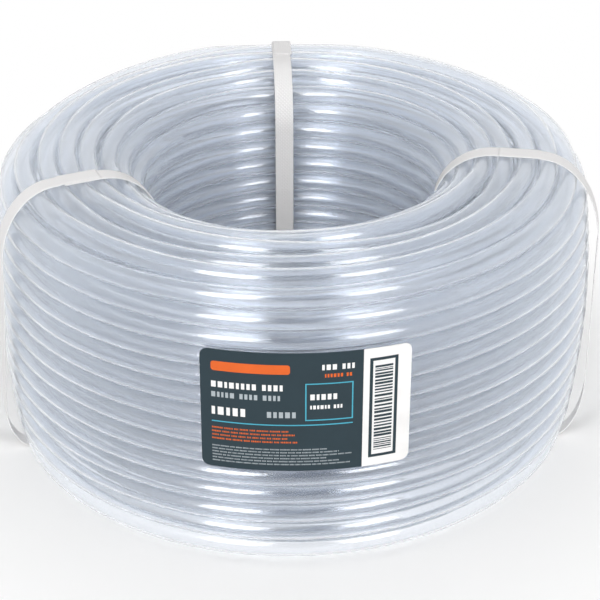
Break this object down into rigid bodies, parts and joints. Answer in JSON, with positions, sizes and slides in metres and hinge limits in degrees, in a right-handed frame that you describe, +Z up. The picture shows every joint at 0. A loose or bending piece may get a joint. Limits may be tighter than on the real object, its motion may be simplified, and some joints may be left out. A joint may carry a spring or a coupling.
{
  "type": "water level hose coil",
  "caption": "Tied round coil of clear flexible hose for a water level, held by flat plastic straps, with a label on its side and an open hose end at the back.",
  "frame": {"origin": "on the coil's axis, at the surface that the coil stands on", "axes": "+Z up along the coil's axis, -Y towards the labelled side, +X to the right of the label"},
  "size_m": [0.4633, 0.4578, 0.2429],
  "materials": {
    "hose": "clear gloss",
    "strap": "embossed",
    "label": "satin print"
  },
  "bodies": {
    "root": {"hose_buried_layers": "hose", "hose_outer_turns": "hose", "hose_inner_turns": "hose", "hose_outer_end": "hose", "hose_inner_end": "hose", "strap_back": "strap", "strap_left": "strap", "strap_right": "strap", "label": "label"}
  },
  "joints": []
}
